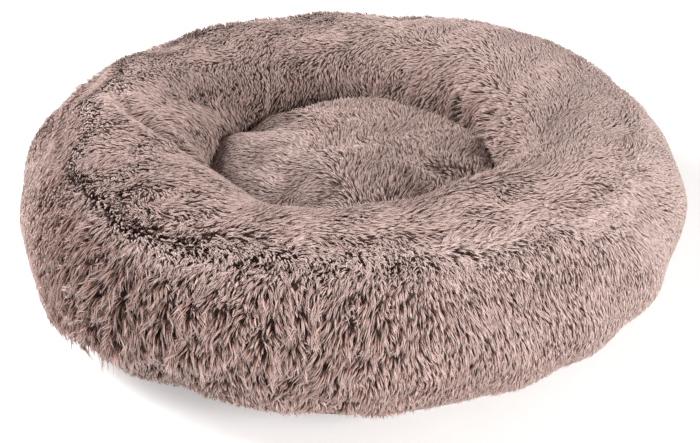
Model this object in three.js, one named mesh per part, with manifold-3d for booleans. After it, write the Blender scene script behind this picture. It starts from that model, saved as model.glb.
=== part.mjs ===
// A round pet bed: a stuffed plush rim round a well, with a loose plush cushion lying in the well.
//
// The rim is a zip-off cover over a ring-shaped insert. The cover is long-pile plush: an outer wall strip from the
// base seam up to the shoulder seam, and a crown strip from there over the top and down the well's wall. A strip this
// long can't be cut from one width of cloth, so each is a front and a rear half, joined at the two sides. Plain base
// cloth closes the cover underneath, and the rear half of the wall joins it by a zip that lies under the curve of the
// rim. The cushion lifts out; the zip's slider runs round the bed, and its pull swings.
//
// Units are millimetres, +Z is up and the front of the bed faces -Y. The origin is on the floor under the centre.
import * as THREE from "three";
import { mergeVertices } from "three/addons/utils/BufferGeometryUtils.js";
import Module from "manifold-3d";

const wasm = await Module();
wasm.setup();

// ---- Driving dimensions -------------------------------------------------------------------------------------------

// The rim, measured over its laid pile.
const outerRadius = 400; // the widest point of the outer wall
const crownRadius = 281; // the highest line of the rim
const wellRadius = 183; // the narrowest point of the well
const rimHeight = 204; // floor to the crown
const waistHeight = 102; // floor to the widest point of the wall
const upperRoundness = 1.9; // superellipse exponents of the rim's section: 2 is an ellipse, more is squarer
const lowerRoundness = 2.4;

// The loose cushion in the well.
const cushionGap = 3; // free play round it
const cushionWaist = 70; // floor to its widest point
const cushionEdge = 127; // floor to the top of its edge
const cushionDome = 15; // how far its middle stands over its edge
const cushionRoundness = 4.6; // the exponent of its edge's section

// Cloths, and the play that separate layers keep.
const plushThickness = 14; // backing and laid pile
const clothThickness = 1.2; // base cloth
const linerThickness = 1.2; // the inserts' bags
const layerGap = 0.4;
const seamGap = 0.5; // between two panels that meet edge to edge

// The tapes and the label that are sewn to the base cloth.
const bindingWidth = 4;
const bindingOverhang = 1.2; // how far the binding stands out past the base seam
const bindingClearance = 1.2; // between its top and the wall's foot
const stayTapeWidth = 10;
const labelLength = 22;
const labelWidth = 26;
const labelThickness = 0.6;
const labelBearing = 188; // from +X, anticlockwise

// Where the seams run, as angles round the rim's section: 0 is the outer waist, 90 the crown, 180 the well's wall.
const baseSeam = -65;
const shoulderSeam = 57;
const wellSeam = 253;
const cushionSeam = -35; // the same round the cushion's edge

// The zip.
const tapeWidth = 9;
const tapeThickness = 0.9;
const coilWidth = 2.3;
const coilHeight = 2;
const chainGap = 1.2; // between the two halves of the chain, where the slider's post runs
const zipPlay = 0.35; // between the slider and the chain
const zipInset = 2; // how deep the tapes lie under the outer face of the cloth
const stopLength = 2.4;
const stopAngle = 7; // from the side of the bed to each end stop
const coilEnd = 8; // from the side of the bed to the coils' ends
const tapeEnd = 2; // from the side of the bed to the tapes' ends
const tapeMargin = 2.2; // from a tape's edge to the base seam, and to the rear wall's lower edge

const sliderLength = 11;
const sliderWidth = 8.4;
const plateThickness = 1.2;
const bridgeLength = 8;
const bridgeWidth = 1.6;
const bridgeRise = 3.4; // from the slider's plate to the bridge's top
const bridgeThickness = 1;
const pivotRadius = 0.55; // of the pull's cross bar
const pullLength = 26;
const pullWidth = 6;
const pullThickness = 1;

// Facets.
const turns = 36; // round the bed
const zipTurns = 144; // round the chain, which the slider has to follow
const station = 15; // degrees between the points of a section, the same for all its layers
const farAway = 3 * outerRadius; // beyond every part of the bed, for cutting
const wedgeStep = 30; // degrees between the corners of a cutting wedge

// ---- Materials ----------------------------------------------------------------------------------------------------

function material(colour, roughness, metalness = 0) {
  return new THREE.MeshStandardMaterial({ color: colour, roughness, metalness });
}
const plush = material(0xb89c95, 0.95);
const baseCloth = material(0x5b5552, 0.85);
const linerCloth = material(0xe9e6e1, 0.9);
const fibreFill = material(0xf7f6f3, 1);
const zipTape = material(0x6a5f5b, 0.85);
const zipCoil = material(0x5a504c, 0.5);
const zipMetal = material(0x8f8f92, 0.35, 1);

// ---- Helpers ------------------------------------------------------------------------------------------------------

const radians = (degrees) => (degrees * Math.PI) / 180;

// Runs from 0 to 1 as x goes from low to high, with a level start and end.
function smoothstep(x, low, high) {
  const t = Math.min(1, Math.max(0, (x - low) / (high - low)));
  return t * t * (3 - 2 * t);
}

// A three.js geometry as a manifold solid.
function solidOf(geometry) {
  const bare = geometry.clone();
  bare.deleteAttribute("normal");
  bare.deleteAttribute("uv");
  const merged = mergeVertices(bare, 1e-4);
  return new wasm.Manifold(
    new wasm.Mesh({
      numProp: 3,
      vertProperties: new Float32Array(merged.attributes.position.array),
      triVerts: new Uint32Array(merged.index.array),
    }),
  );
}

// A manifold solid as a three.js geometry.
function geometryOf(solid) {
  const mesh = solid.getMesh();
  const geometry = new THREE.BufferGeometry();
  geometry.setAttribute("position", new THREE.BufferAttribute(new Float32Array(mesh.vertProperties), 3));
  geometry.setIndex(new THREE.BufferAttribute(new Uint32Array(mesh.triVerts), 1));
  geometry.computeVertexNormals();
  return geometry;
}

// The area that a closed outline of [r, z] pairs runs round, positive if it runs anticlockwise.
function signedArea(outline) {
  return outline.reduce((sum, [r, z], i) => {
    const [nextR, nextZ] = outline[(i + 1) % outline.length];
    return sum + (r * nextZ - nextR * z) / 2;
  }, 0);
}

// Turns a closed outline of [radius, height] pairs round the Z axis, into a solid ring or, where it touches the axis,
// a solid disc.
function turned(outline, facets = turns) {
  const run = signedArea(outline) < 0 ? [...outline].reverse() : outline;
  const points = [...run, run[0]].map(([r, z]) => new THREE.Vector2(r, z));
  const geometry = new THREE.LatheGeometry(points, facets);
  geometry.rotateX(Math.PI / 2);
  const solid = solidOf(geometry);
  return solid.volume() < 0 ? solidOf(flipped(geometry)) : solid;
}

// The same geometry with its faces turned round.
function flipped(geometry) {
  const other = geometry.clone();
  const index = other.index.array;
  for (let i = 0; i < index.length; i += 3) [index[i + 1], index[i + 2]] = [index[i + 2], index[i + 1]];
  return other;
}

// The part of a solid between two bearings, in degrees anticlockwise from +X as seen from above.
function between(solid, fromBearing, toBearing) {
  const steps = Math.ceil((toBearing - fromBearing) / wedgeStep);
  const outline = [new THREE.Vector2(0, 0)];
  for (let i = 0; i <= steps; i++) {
    const bearing = radians(fromBearing + ((toBearing - fromBearing) * i) / steps);
    outline.push(new THREE.Vector2(farAway * Math.cos(bearing), farAway * Math.sin(bearing)));
  }
  const wedge = new THREE.ExtrudeGeometry(new THREE.Shape(outline), { depth: 2 * farAway, bevelEnabled: false });
  wedge.translate(0, 0, -farAway);
  return solid.intersect(solidOf(wedge));
}

// Half of a ring, less half of the gap that the two cross seams keep.
function half(solid, side) {
  const trim = THREE.MathUtils.radToDeg(seamGap / 2 / wellRadius);
  const start = side === "rear" ? 0 : 180;
  return between(solid, start + trim, start + 180 - trim);
}

const bed = new THREE.Group();

// Adds a named mesh to a group.
function add(name, geometry, look, group = bed) {
  const mesh = new THREE.Mesh(geometry, look);
  mesh.name = name;
  group.add(mesh);
  return mesh;
}

// ---- The rim's section --------------------------------------------------------------------------------------------

// The point of a unit superellipse that lies in the direction of an angle.
function superellipse(angle, exponent) {
  const [c, s] = [Math.cos(radians(angle)), Math.sin(radians(angle))];
  const reach = (Math.abs(c) ** exponent + Math.abs(s) ** exponent) ** (-1 / exponent);
  return [c * reach, s * reach];
}

// The point on the rim's section at an angle, a given depth under the outer face.
function rimPoint(angle, depth) {
  const upper = Math.sin(radians(angle)) > 0;
  const [across, up] = superellipse(angle, upper ? upperRoundness : lowerRoundness);
  const reach = across > 0 ? outerRadius - crownRadius : crownRadius - wellRadius;
  const height = upper ? rimHeight - waistHeight : waistHeight;
  return [crownRadius + (reach - depth) * across, waistHeight + (height - depth) * up];
}

// How far under the outer face the cover ends at an angle: the cloth's thickness at the foot of the rim, and the
// plush's all over the sides and the top.
function coverDepth(angle) {
  const turn = (angle + 450) % 360;
  const fromFoot = Math.min(turn, 360 - turn);
  return clothThickness + (plushThickness - clothThickness) * smoothstep(fromFoot, 10, 60);
}

// The angles of a section's points between two angles: both ends, and each whole station that isn't close to an end.
function stations(from, to) {
  const closest = station / 8;
  const whole = [];
  for (let angle = Math.ceil(from / station) * station; angle < to; angle += station) {
    if (angle - from > closest && to - angle > closest) whole.push(angle);
  }
  return [from, ...whole, to];
}

// The outline of one layer between two angles: out along its outer face and back along its inner face.
function layerOutline(pointAt, outerDepth, innerDepth, from, to) {
  const run = stations(from, to);
  return [
    ...run.map((angle) => pointAt(angle, outerDepth(angle))),
    ...[...run].reverse().map((angle) => pointAt(angle, innerDepth(angle))),
  ];
}

// The angle on the rim's section that lies a given distance along the outer face from another.
function angleAlong(start, distance) {
  const step = 0.25;
  let angle = start;
  let gone = 0;
  while (gone < distance) {
    const [r0, z0] = rimPoint(angle, 0);
    const [r1, z1] = rimPoint(angle + step, 0);
    gone += Math.hypot(r1 - r0, z1 - z0);
    angle += step;
  }
  return angle;
}

const onFace = () => 0;
const seamTurn = angleAlong(shoulderSeam, seamGap) - shoulderSeam; // the seam gap as an angle at the shoulder
const zipBandWidth = chainGap + 2 * (tapeWidth + tapeMargin);
const zipTop = angleAlong(baseSeam, zipBandWidth);

// ---- The rim's cover ----------------------------------------------------------------------------------------------

function wallPanel(side) {
  const foot = side === "rear" ? zipTop : baseSeam;
  const outline = layerOutline(rimPoint, onFace, coverDepth, foot, shoulderSeam - seamTurn);
  return geometryOf(half(turned(outline), side));
}

function crownPanel(side) {
  const outline = layerOutline(rimPoint, onFace, coverDepth, shoulderSeam, wellSeam);
  return geometryOf(half(turned(outline), side));
}

// A ring of rectangular section.
function ring(innerRadius, outerEdge, low, high) {
  return turned([
    [innerRadius, low],
    [outerEdge, low],
    [outerEdge, high],
    [innerRadius, high],
  ]);
}

// The binding folded over the base cloth's edge, under the wall's foot.
const [baseSeamRadius, baseSeamHeight] = rimPoint(baseSeam, 0);
const bindingOutside = baseSeamRadius + bindingOverhang;
const bindingInside = bindingOutside - bindingWidth;
const baseRadius = bindingInside - layerGap;

// The stay tape that holds the gathers of the well's wall, between the crown panel's lower edge and the base cloth.
function stayTape() {
  const [seamRadius, seamHeight] = rimPoint(wellSeam, 0);
  const low = clothThickness + layerGap;
  const high = Math.max(low + layerGap, seamHeight - layerGap);
  return ring(seamRadius - stayTapeWidth / 2, seamRadius + stayTapeWidth / 2, low, high);
}

// A blank care label, which hangs from the base seam under the curve of the wall.
function careLabel() {
  const geometry = new THREE.BoxGeometry(labelLength, labelWidth, labelThickness);
  const start = bindingOutside + seamGap;
  const top = baseSeamHeight - bindingClearance;
  const drop = top - labelThickness - layerGap;
  const slope = Math.asin(drop / labelLength);
  geometry.rotateY(slope);
  geometry.translate(start + (labelLength / 2) * Math.cos(slope), 0, top - drop / 2);
  geometry.rotateZ(radians(labelBearing));
  return geometryOf(solidOf(geometry));
}

for (const side of ["front", "rear"]) {
  add(`rim_wall_${side}`, wallPanel(side), plush);
  add(`rim_crown_${side}`, crownPanel(side), plush);
}
add("base_cloth", geometryOf(ring(0, baseRadius, 0, clothThickness)), baseCloth);
const binding = ring(bindingInside, bindingOutside, layerGap, baseSeamHeight - bindingClearance);
add("base_binding", geometryOf(binding), zipTape);
add("well_stay_tape", geometryOf(stayTape()), zipTape);
add("care_label", careLabel(), linerCloth);

// ---- The rim's insert ---------------------------------------------------------------------------------------------

// Depths of the insert's bag and of its filling, which follow the inside of the cover.
const bagOutside = (angle) => coverDepth(angle) + layerGap;
const bagInside = (angle) => bagOutside(angle) + linerThickness;
const fillOutside = (angle) => bagInside(angle) + layerGap;

function rimBagHalf(from, to) {
  const trim = THREE.MathUtils.radToDeg(seamGap / 2 / (rimHeight - waistHeight - plushThickness));
  return geometryOf(turned(layerOutline(rimPoint, bagOutside, bagInside, from + trim, to - trim)));
}

function rimFilling() {
  const round = stations(0, 360 - station);
  return geometryOf(turned(round.map((angle) => rimPoint(angle, fillOutside(angle)))));
}

add("rim_insert_upper", rimBagHalf(0, 180), linerCloth);
add("rim_insert_lower", rimBagHalf(180, 360), linerCloth);
add("rim_filling", rimFilling(), fibreFill);

// ---- The cushion --------------------------------------------------------------------------------------------------

const cushionRadius = wellRadius - cushionGap;
const cushionFoot = clothThickness + layerGap;

// The point on the cushion's section at an angle: 0 is its waist, 90 the top of its dome, -90 its foot.
function cushionPoint(angle, depth) {
  const [across, up] = superellipse(angle, cushionRoundness);
  const radius = Math.max(0, (cushionRadius - depth) * across);
  if (up <= 0) return [radius, cushionWaist + (cushionWaist - cushionFoot - depth) * up];
  const dome = cushionDome * up * (1 - (radius / cushionRadius) ** 2);
  return [radius, cushionWaist + (cushionEdge - cushionWaist - depth) * up + dome];
}

// As coverDepth: thin cloth under the cushion, plush over its side and top.
function cushionCoverDepth(angle) {
  return clothThickness + (plushThickness - clothThickness) * smoothstep(angle, -75, -15);
}
const cushionBagOutside = (angle) => cushionCoverDepth(angle) + layerGap;
const cushionBagInside = (angle) => cushionBagOutside(angle) + linerThickness;
const cushionFillOutside = (angle) => cushionBagInside(angle) + layerGap;

// One layer of the cushion between two angles, as a domed or dished shell.
function cushionShell(outerDepth, innerDepth, from, to) {
  return geometryOf(turned(layerOutline(cushionPoint, outerDepth, innerDepth, from, to)));
}

const cushion = new THREE.Group();
bed.add(cushion);
const seamAngle = THREE.MathUtils.radToDeg(seamGap / (cushionWaist - cushionFoot));
const topPanel = cushionShell(onFace, cushionCoverDepth, cushionSeam + seamAngle, 90);
const basePanel = cushionShell(onFace, cushionCoverDepth, -90, cushionSeam);
add("cushion_top_panel", topPanel, plush, cushion);
add("cushion_base_panel", basePanel, baseCloth, cushion);
add("cushion_insert_upper", cushionShell(cushionBagOutside, cushionBagInside, seamAngle, 90), linerCloth, cushion);
add("cushion_insert_lower", cushionShell(cushionBagOutside, cushionBagInside, -90, 0), linerCloth, cushion);
const cushionOutline = stations(-90, 90).map((angle) => cushionPoint(angle, cushionFillOutside(angle)));
add("cushion_filling", geometryOf(turned(cushionOutline)), fibreFill, cushion);

// ---- The zip ------------------------------------------------------------------------------------------------------

// The zip's own axes in the section: across runs up the band from the base seam, and out points away from the bed.
const [bandFootRadius, bandFootHeight] = rimPoint(baseSeam, zipInset);
const [bandTopRadius, bandTopHeight] = rimPoint(zipTop, zipInset);
const bandLength = Math.hypot(bandTopRadius - bandFootRadius, bandTopHeight - bandFootHeight);
const across = [(bandTopRadius - bandFootRadius) / bandLength, (bandTopHeight - bandFootHeight) / bandLength];
const out = [across[1], -across[0]];
const zipRadius = (bandFootRadius + bandTopRadius) / 2;
const zipHeight = (bandFootHeight + bandTopHeight) / 2;

// A bar of the chain: a rectangle in the zip's own axes, turned round the bed between two bearings.
function zipBar(lowAcross, highAcross, lowOut, highOut, fromBearing, toBearing) {
  const corner = (a, o) => [zipRadius + a * across[0] + o * out[0], zipHeight + a * across[1] + o * out[1]];
  const outline = [
    corner(lowAcross, lowOut),
    corner(highAcross, lowOut),
    corner(highAcross, highOut),
    corner(lowAcross, highOut),
  ];
  return geometryOf(between(turned(outline, zipTurns), fromBearing, toBearing));
}

const tapeFace = tapeThickness / 2;
const coilFoot = tapeFace + layerGap;
const coilTop = coilFoot + coilHeight;
const nearEdge = chainGap / 2;

add("zip_tape_lower", zipBar(-nearEdge - tapeWidth, -nearEdge, -tapeFace, tapeFace, tapeEnd, 180 - tapeEnd), zipTape);
add("zip_tape_upper", zipBar(nearEdge, nearEdge + tapeWidth, -tapeFace, tapeFace, tapeEnd, 180 - tapeEnd), zipTape);
add("zip_coil_lower", zipBar(-nearEdge - coilWidth, -nearEdge, coilFoot, coilTop, coilEnd, 180 - coilEnd), zipCoil);
add("zip_coil_upper", zipBar(nearEdge, nearEdge + coilWidth, coilFoot, coilTop, coilEnd, 180 - coilEnd), zipCoil);

// A group whose X runs along the zip, Y across it and Z out of it, at a bearing.
function zipFrame(bearing) {
  const b = radians(bearing);
  const along = new THREE.Vector3(-Math.sin(b), Math.cos(b), 0);
  const acrossBand = new THREE.Vector3(across[0] * Math.cos(b), across[0] * Math.sin(b), across[1]);
  const outOfBand = new THREE.Vector3(out[0] * Math.cos(b), out[0] * Math.sin(b), out[1]);
  const group = new THREE.Group();
  group.quaternion.setFromRotationMatrix(new THREE.Matrix4().makeBasis(along, acrossBand, outOfBand));
  group.position.set(zipRadius * Math.cos(b), zipRadius * Math.sin(b), zipHeight);
  bed.add(group);
  return group;
}

// A box from its lowest to its highest corner.
function box(low, high) {
  const size = high.map((h, i) => h - low[i]);
  const geometry = new THREE.BoxGeometry(...size);
  geometry.translate(...low.map((l, i) => l + size[i] / 2));
  return solidOf(geometry);
}

for (const [name, bearing] of [
  ["zip_stop_closed", stopAngle],
  ["zip_stop_open", 180 - stopAngle],
]) {
  const halfWidth = nearEdge + coilWidth;
  const clip = box([-stopLength / 2, -halfWidth, coilFoot], [stopLength / 2, halfWidth, coilTop]);
  add(name, geometryOf(clip), zipMetal, zipFrame(bearing));
}

// The slider: a plate each side of the chain, a thin post between them in the chain's gap, side flanges that hold
// the coils in, and a bridge for the pull.
const plateFoot = coilTop + zipPlay;
const plateTop = plateFoot + plateThickness;
const backTop = -tapeFace - zipPlay;
const postWidth = chainGap - 2 * zipPlay;
const bridgeTop = plateTop + bridgeRise;

function sliderSolid() {
  const l = sliderLength / 2;
  const w = sliderWidth / 2;
  const frontPlate = box([-l, -w, plateFoot], [l, w, plateTop]);
  const backPlate = box([-l, -w, backTop - plateThickness], [l, w, backTop]);
  const post = box([-l / 3, -postWidth / 2, backTop - plateThickness / 2], [l / 3, postWidth / 2, plateTop]);
  const flangeFoot = tapeFace + zipPlay;
  const coilSide = nearEdge + coilWidth + zipPlay;
  const flanges = [-1, 1].map((side) => {
    const edges = [side * coilSide, side * w].sort((a, b) => a - b);
    return box([-l, edges[0], flangeFoot], [l, edges[1], plateTop]);
  });
  const b = bridgeLength / 2;
  const halfBridge = bridgeWidth / 2;
  const bridge = box([-b, -halfBridge, plateTop - layerGap], [b, halfBridge, bridgeTop]).subtract(
    box([-b + bridgeThickness, -bridgeWidth, plateTop], [b - bridgeThickness, bridgeWidth, bridgeTop - bridgeThickness]),
  );
  return [backPlate, post, ...flanges, bridge].reduce((whole, piece) => whole.add(piece), frontPlate);
}

// The closed zip's slider is parked against its stop.
const sliderPark = stopAngle + THREE.MathUtils.radToDeg(((sliderLength + stopLength) / 2 + zipPlay) / zipRadius);
const sliderGroup = zipFrame(sliderPark);
add("zip_slider", geometryOf(sliderSolid()), zipMetal, sliderGroup);

// The pull: a cross bar under the bridge, two arms past the bridge's side, and a plate with a round end.
const pivotOut = plateTop + zipPlay + pivotRadius;

function pullSolid() {
  const armInside = bridgeWidth / 2 + zipPlay;
  const halfWidth = pullWidth / 2;
  const halfThickness = pullThickness / 2;
  const plateStart = bridgeLength / 2 + bridgeRise;
  const outline = new THREE.Shape();
  outline.moveTo(-pivotRadius, -halfWidth);
  outline.lineTo(pullLength - halfWidth, -halfWidth);
  outline.absarc(pullLength - halfWidth, 0, halfWidth, -Math.PI / 2, Math.PI / 2, false);
  outline.lineTo(-pivotRadius, halfWidth);
  outline.lineTo(-pivotRadius, armInside);
  outline.lineTo(plateStart, armInside);
  outline.lineTo(plateStart, -armInside);
  outline.lineTo(-pivotRadius, -armInside);
  const plate = new THREE.ExtrudeGeometry(outline, { depth: pullThickness, bevelEnabled: false, curveSegments: 8 });
  plate.translate(0, 0, -halfThickness);
  const crossBar = new THREE.CylinderGeometry(pivotRadius, pivotRadius, pullWidth - pivotRadius, 10);
  return solidOf(plate).add(solidOf(crossBar));
}

const pullGroup = new THREE.Group();
pullGroup.position.set(0, 0, pivotOut);
sliderGroup.add(pullGroup);
add("zip_pull", geometryOf(pullSolid()), zipMetal, pullGroup);

export default bed;
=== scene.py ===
# %% [markdown]
# # A round plush pet bed
# The bed is a stuffed ring with a loose cushion in its well, all of it covered with long-pile plush. What
# anyone sees is the pile: thousands of soft locks that lie one way here, part there, and hang over the
# wall. So the lesson is mostly about pile. First comes the cloth that carries it, then the locks
# themselves, grown as real meshes, and last the plain cloth, the tapes and the zip underneath.

# %% Load the frame
import math

import bmesh
import bpy
import numpy as np
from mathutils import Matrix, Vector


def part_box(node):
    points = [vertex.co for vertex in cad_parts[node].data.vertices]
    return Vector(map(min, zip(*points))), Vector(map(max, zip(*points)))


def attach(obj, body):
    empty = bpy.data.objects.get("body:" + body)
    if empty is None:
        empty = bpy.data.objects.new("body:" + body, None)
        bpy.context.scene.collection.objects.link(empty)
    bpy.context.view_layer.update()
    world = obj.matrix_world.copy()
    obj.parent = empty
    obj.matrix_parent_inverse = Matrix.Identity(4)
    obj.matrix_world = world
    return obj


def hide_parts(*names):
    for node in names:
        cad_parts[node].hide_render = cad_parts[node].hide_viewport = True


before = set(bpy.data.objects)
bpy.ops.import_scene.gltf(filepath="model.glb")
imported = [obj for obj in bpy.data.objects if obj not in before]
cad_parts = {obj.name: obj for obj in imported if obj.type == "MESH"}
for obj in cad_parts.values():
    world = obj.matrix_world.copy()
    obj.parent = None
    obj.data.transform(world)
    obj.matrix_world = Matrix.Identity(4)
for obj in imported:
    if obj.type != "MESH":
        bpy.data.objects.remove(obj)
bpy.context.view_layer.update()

scene = bpy.context.scene
MM = 0.001

# %% [markdown]
# ## The camera, the floor and the light
# The bed stands on a pale studio floor, seen from the front and a little above, with a lens long enough
# that the far side of the ring doesn't shrink much. Two large soft lights give the pile its shape: a low
# one on the right makes the locks that face it pale, one behind on the left shines along the crown, and the
# front left falls into shade.

# %% Camera
VIEW_HEIGHT = math.radians(28)
VIEW_TILT = math.radians(30.4)
VIEW_DISTANCE = 1.4
LENS = 58.5
AIM_HEIGHT = 0.1016


def in_scene(name, data):
    """A new object that holds this data, linked to the scene."""
    made = bpy.data.objects.new(name, data)
    scene.collection.objects.link(made)
    return made


camera_data = bpy.data.cameras.new("camera")
camera_data.lens = LENS
camera_data.sensor_width = 36
camera = in_scene("camera", camera_data)
camera.location = (
    0,
    -VIEW_DISTANCE * math.cos(VIEW_HEIGHT),
    AIM_HEIGHT + VIEW_DISTANCE * math.sin(VIEW_HEIGHT),
)
camera.rotation_euler = (math.pi / 2 - VIEW_TILT, 0, 0)
scene.camera = camera

# %% Floor, world and lights
scene.view_settings.view_transform = "Standard"


def node_material(name):
    """A new node material, with its tree and its shader node."""
    made = bpy.data.materials.new(name)
    made.use_nodes = True
    tree = made.node_tree
    return made, tree, tree.nodes["Principled BSDF"]


def floor_finish():
    """A matt pale finish."""
    made, tree, shader = node_material("studio_floor")
    shader.inputs["Base Color"].default_value = (0.9, 0.9, 0.9, 1)
    shader.inputs["Roughness"].default_value = 0.9
    shader.inputs["Emission Color"].default_value = (1, 1, 1, 1)
    shader.inputs["Emission Strength"].default_value = 0.37
    return made


FLOOR_HALF = 6.0
floor_mesh = bpy.data.meshes.new("floor")
corners = [(x * FLOOR_HALF, y * FLOOR_HALF, 0) for x, y in ((-1, -1), (1, -1), (1, 1), (-1, 1))]
floor_mesh.from_pydata(corners, [], [(0, 1, 2, 3)])
floor = in_scene("floor", floor_mesh)
floor.data.materials.append(floor_finish())

world = bpy.data.worlds.new("studio")
world.use_nodes = True
sky = world.node_tree.nodes["Background"]
sky.inputs["Color"].default_value = (1, 0.87, 0.81, 1)
sky.inputs["Strength"].default_value = 0.26
scene.world = world


def soft_light(name, place, size, watts):
    """A square area light of a given side, which faces the middle of the bed."""
    data = bpy.data.lights.new(name, "AREA")
    data.shape = "SQUARE"
    data.size = size
    data.energy = watts
    light = in_scene(name, data)
    light.location = place
    away = np.array(place) - np.array((0, 0, AIM_HEIGHT))
    flat = math.hypot(away[0], away[1])
    light.rotation_euler = (math.atan2(flat, away[2]), 0, math.atan2(away[0], -away[1]))


soft_light("key_light", (1.9, -1.8, 1.0), 1.1, 78)
soft_light("left_light", (-2.15, 0.5, 1.4), 1.0, 95)
print("camera and lights in place")

# %% [markdown]
# ## Smooth random fields
# Pile is never regular. Its heading drifts, its locks differ in length, and the stuffing under it is lumpy.
# All of that comes from one tool: a sum of a few sine waves that run in random directions through space. It
# is smooth, cheap for whole arrays, and the same on every run, because its waves come from a seeded
# generator.

# %% Fields


def wave_field(seed, wavelength, waves=7):
    """A function of points: the sum of sine waves of random heading and phase, whose lengths lie round the
    given one, scaled so that it mostly stays between -1 and 1."""
    draw = np.random.default_rng(seed)
    heading = draw.normal(size=(waves, 3))
    heading /= np.linalg.norm(heading, axis=1, keepdims=True)
    pace = 2 * np.pi / (wavelength * draw.uniform(0.75, 1.35, size=(waves, 1)))
    phase = draw.uniform(0, 2 * np.pi, size=waves)
    reach = 1.5 / math.sqrt(waves)

    def field(points):
        return np.sin(points @ (heading * pace).T + phase).sum(axis=-1) * reach

    return field


def ease(x, low, high):
    """Runs from 0 to 1 as x goes from low to high, level at both ends."""
    t = np.clip((x - low) / (high - low), 0, 1)
    return t * t * (3 - 2 * t)


# %% [markdown]
# ## Meshes from arrays
# Every cloth in the bed is a grid of points bent round something, so a few small helpers do for all of
# them. One turns arrays into an object, one lists the quads of a grid, open or closed on itself, and one
# gives a finished piece its looks and says what it stands for.

# %% Meshes from arrays


def full_turn(count):
    """Bearings spread evenly round the ring, without the one that would close it."""
    return np.linspace(0, 2 * np.pi, count, endpoint=False)


def polar(radius, bearing, height):
    """Points from radius, bearing and height arrays of any shapes that fit together."""
    radius, bearing, height = np.broadcast_arrays(radius, bearing, height)
    return np.stack([radius * np.cos(bearing), radius * np.sin(bearing), height], axis=-1)


def mesh_object(name, points, faces, smooth=True):
    """A mesh object from an array of points and an array of equal faces, or a list of faces."""
    mesh = bpy.data.meshes.new(name)
    faces = faces.tolist() if hasattr(faces, "tolist") else faces
    mesh.from_pydata(np.asarray(points).reshape(-1, 3).tolist(), [], faces)
    mesh.polygons.foreach_set("use_smooth", np.full(len(mesh.polygons), smooth))
    mesh.update()
    return in_scene(name, mesh)


def grid_faces(rows, columns, wrap):
    """Quads of a grid of points in rows; a wrapped grid's last column joins its first."""
    r, c = np.meshgrid(np.arange(rows - 1), np.arange(columns if wrap else columns - 1), indexing="ij")
    after = (c + 1) % columns
    quads = [r * columns + c, r * columns + after, (r + 1) * columns + after, (r + 1) * columns + c]
    return np.stack(quads, axis=-1).reshape(-1, 4)


def closed_panel(name, outer, inner, smooth=True):
    """A closed panel of cloth: an outer grid, an inner one turned over, and quads round their edges."""
    rows, columns = outer.shape[:2]
    count = rows * columns
    top = grid_faces(rows, columns, False)
    loop = np.concatenate([
        np.arange(columns),
        np.arange(1, rows) * columns + columns - 1,
        (rows - 1) * columns + np.arange(columns - 2, -1, -1),
        np.arange(rows - 2, 0, -1) * columns,
    ])
    after = np.roll(loop, -1)
    edge = np.stack([after, loop, loop + count, after + count], axis=-1)
    points = np.concatenate([outer.reshape(-1, 3), inner.reshape(-1, 3)])
    return mesh_object(name, points, np.concatenate([top, top[:, ::-1] + count, edge]), smooth)


def give_values(mesh, name, values):
    """Writes one number for each point of a mesh, for its finish to read."""
    mesh.attributes.new(name, "FLOAT", "POINT").data.foreach_set("value", values.astype(np.float32))


def dress(piece, finish, slot, body, *nodes):
    """Gives a piece its finish, and says which body carries it and which solids it replaces. The slot is not
    used.
    """
    piece.data.materials.clear()
    piece.data.materials.append(finish)
    if nodes:
        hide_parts(*nodes)
    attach(piece, body)
    return piece


# %% [markdown]
# ## The rim's skin
# The rim is a ring with a rounded section: half a superellipse outside the crown line and half inside it.
# One function gives the section, and a table of its arc length lets every later step walk along the cloth
# in real millimetres. A swell, read from a grid of bearing and arc, is added along the outward normal: it
# carries the lumps of the stuffing and the gathers of the well's wall.

# %% The rim's section
outer_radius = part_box("rim_wall_front")[1].x
rim_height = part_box("rim_crown_front")[1].z
waist_height = rim_height / 2
PLAY = 3 * MM
well_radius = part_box("cushion_top_panel")[1].x + PLAY
crown_radius = 0.281
UPPER_ROUNDNESS = 1.9
LOWER_ROUNDNESS = 2.4
BASE_SEAM = -65
SHOULDER_SEAM = 57
WELL_SEAM = 253


def superellipse(angle, roundness):
    """The point of a unit superellipse in an angle's direction: the direction over its own roundness-norm."""
    c, s = np.cos(angle), np.sin(angle)
    reach = (np.abs(c) ** roundness + np.abs(s) ** roundness) ** (-1 / roundness)
    return c * reach, s * reach


def rim_section(angle):
    """Radius and height on the rim's section, for an angle: 0 at the waist, a right angle at the crown."""
    upper = np.sin(angle) > 0
    across, up = superellipse(angle, np.where(upper, UPPER_ROUNDNESS, LOWER_ROUNDNESS))
    reach = np.where(across > 0, outer_radius - crown_radius, crown_radius - well_radius)
    height = np.where(upper, rim_height - waist_height, waist_height)
    return crown_radius + reach * across, waist_height + height * up


def section_table(radius, height):
    """Arc length, radius, height and the outward normal along a section's points."""
    step = np.hypot(np.diff(radius), np.diff(height))
    arc = np.concatenate([[0], np.cumsum(step)])
    along_r, along_z = np.gradient(radius, arc), np.gradient(height, arc)
    size = np.hypot(along_r, along_z)
    return {"arc": arc, "r": radius, "z": height, "nr": along_z / size, "nz": -along_r / size}


def on_section(table, arc, lift):
    """Radius and height at an arc of a section, lifted along its outward normal."""
    r = np.interp(arc, table["arc"], table["r"]) + lift * np.interp(arc, table["arc"], table["nr"])
    z = np.interp(arc, table["arc"], table["z"]) + lift * np.interp(arc, table["arc"], table["nz"])
    return r, z


FINE = 700  # points along a section
rim_angles = np.radians(np.linspace(BASE_SEAM, WELL_SEAM, FINE))
rim_table = section_table(*rim_section(rim_angles))
rim_arc = rim_table["arc"]


def arc_at(angle):
    """The arc length from the base seam to an angle of the section, in degrees."""
    return float(np.interp(math.radians(angle), rim_angles, rim_arc))


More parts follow.
